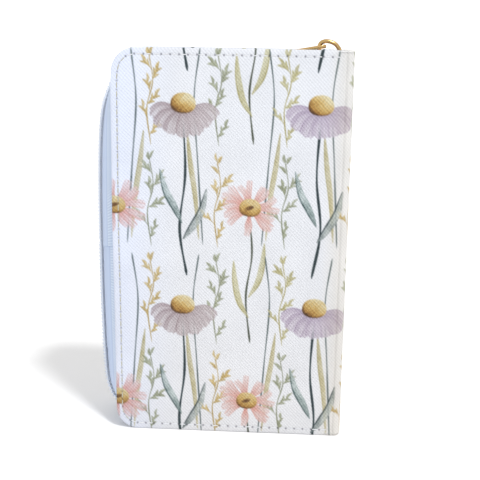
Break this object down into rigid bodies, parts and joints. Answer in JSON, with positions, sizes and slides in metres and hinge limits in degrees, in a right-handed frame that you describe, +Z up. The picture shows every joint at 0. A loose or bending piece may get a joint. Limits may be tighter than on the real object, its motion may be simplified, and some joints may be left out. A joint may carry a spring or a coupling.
{
  "type": "zip-around prayer book",
  "caption": "Pocket prayer book in a zip-around leathercloth case, standing closed; hinged covers, turning page sections, sliding zip slider and swinging pull.",
  "frame": {"origin": "bottom centre of the closed book's bounding box, on the surface it stands on", "axes": "+Z up along the height of the book, +X towards the spine, -X towards the zipped fore edge, -Y out of the back cover, +Y out of the front cover"},
  "size_m": [0.0963, 0.028, 0.1508],
  "materials": {
    "printed_leathercloth": "cross-hatch embossed satin coating, printed",
    "cover_board": "greyboard",
    "lining_cloth": "fine woven lining",
    "endpaper": "uncoated paper",
    "page_paper": "thin uncoated book paper, trimmed edges",
    "seam_thread": "twisted polyester thread",
    "zip_tape": "woven polyester tape",
    "zip_coil": "nylon monofilament coil",
    "gilt_metal": "polished gold-coloured plating",
    "mull_cloth": "open gauze with dry glue",
    "band_cloth": "striped woven band",
    "ribbon_silk": "satin ribbon"
  },
  "bodies": {
    "spine": {"spine_skin": "printed_leathercloth", "spine_board": "cover_board", "spine_lining": "lining_cloth", "mull": "mull_cloth", "head_band": "band_cloth", "tail_band": "band_cloth", "signature_4": "page_paper", "ribbon_marker": "ribbon_silk", "bottom_stop": "gilt_metal", "front_top_stop": "gilt_metal"},
    "front_cover": {"front_cover_skin": "printed_leathercloth", "front_cover_board": "cover_board", "front_cover_lining": "lining_cloth", "front_pastedown": "endpaper", "front_seam_thread": "seam_thread", "front_zip_tape": "zip_tape", "front_zip_coil": "zip_coil"},
    "back_cover": {"back_cover_skin": "printed_leathercloth", "back_cover_board": "cover_board", "back_cover_lining": "lining_cloth", "back_pastedown": "endpaper", "back_seam_thread": "seam_thread", "back_zip_tape": "zip_tape", "back_zip_coil": "zip_coil", "back_top_stop": "gilt_metal"},
    "front_flyleaf": {"front_flyleaf": "endpaper"},
    "signature_1": {"signature_1": "page_paper"},
    "signature_2": {"signature_2": "page_paper"},
    "signature_3": {"signature_3": "page_paper"},
    "back_flyleaf": {"back_flyleaf": "endpaper"},
    "signature_7": {"signature_7": "page_paper"},
    "signature_6": {"signature_6": "page_paper"},
    "signature_5": {"signature_5": "page_paper"},
    "slider": {"slider_body": "gilt_metal", "slider_bridge": "gilt_metal"},
    "pull": {"pull_tab": "gilt_metal"}
  },
  "joints": [
    {"name": "front_cover_fold", "type": "hinge", "parent": "spine", "child": "front_cover", "pos_m": [0.0452, 0.014, 0.0735], "axis": [0, 0, -1], "range_deg": [0, 175], "deforming": ["front_zip_tape", "front_zip_coil"]},
    {"name": "back_cover_fold", "type": "hinge", "parent": "spine", "child": "back_cover", "pos_m": [0.0452, -0.014, 0.0735], "axis": [0, 0, 1], "range_deg": [0, 175], "deforming": ["back_zip_tape", "back_zip_coil"]},
    {"name": "front_flyleaf_turn", "type": "hinge", "parent": "spine", "child": "front_flyleaf", "pos_m": [0.0449, 0.01082, 0.0733], "axis": [0, 0, -1], "range_deg": [0, 81]},
    {"name": "signature_1_turn", "type": "hinge", "parent": "spine", "child": "signature_1", "pos_m": [0.0449, 0.0105, 0.0733], "axis": [0, 0, -1], "range_deg": [0, 44.25]},
    {"name": "signature_2_turn", "type": "hinge", "parent": "spine", "child": "signature_2", "pos_m": [0.0449, 0.00749, 0.0733], "axis": [0, 0, -1], "range_deg": [0, 21.5]},
    {"name": "signature_3_turn", "type": "hinge", "parent": "spine", "child": "signature_3", "pos_m": [0.0449, 0.00447, 0.0733], "axis": [0, 0, -1], "range_deg": [0, 10.12]},
    {"name": "back_flyleaf_turn", "type": "hinge", "parent": "spine", "child": "back_flyleaf", "pos_m": [0.0449, -0.01082, 0.0733], "axis": [0, 0, 1], "range_deg": [0, 81]},
    {"name": "signature_7_turn", "type": "hinge", "parent": "spine", "child": "signature_7", "pos_m": [0.0449, -0.0105, 0.0733], "axis": [0, 0, 1], "range_deg": [0, 44.25]},
    {"name": "signature_6_turn", "type": "hinge", "parent": "spine", "child": "signature_6", "pos_m": [0.0449, -0.00749, 0.0733], "axis": [0, 0, 1], "range_deg": [0, 21.5]},
    {"name": "signature_5_turn", "type": "hinge", "parent": "spine", "child": "signature_5", "pos_m": [0.0449, -0.00447, 0.0733], "axis": [0, 0, 1], "range_deg": [0, 10.12]},
    {"name": "slider_run", "type": "slide", "parent": "back_cover", "child": "slider", "axis": [-1, 0, 0], "range_m": [0, 0.062]},
    {"name": "pull_swing", "type": "hinge", "parent": "slider", "child": "pull", "pos_m": [0.0374, 0, 0.14825], "axis": [0, 1, 0], "range_deg": [0, 115]}
  ],
  "couplings": [
    {"joint": "front_flyleaf_turn", "follows": "front_cover_fold", "ratio": 0.46},
    {"joint": "signature_1_turn", "follows": "front_cover_fold", "ratio": 0.25},
    {"joint": "signature_2_turn", "follows": "front_cover_fold", "ratio": 0.12},
    {"joint": "signature_3_turn", "follows": "front_cover_fold", "ratio": 0.055},
    {"joint": "back_flyleaf_turn", "follows": "back_cover_fold", "ratio": 0.46},
    {"joint": "signature_7_turn", "follows": "back_cover_fold", "ratio": 0.25},
    {"joint": "signature_6_turn", "follows": "back_cover_fold", "ratio": 0.12},
    {"joint": "signature_5_turn", "follows": "back_cover_fold", "ratio": 0.055}
  ]
}
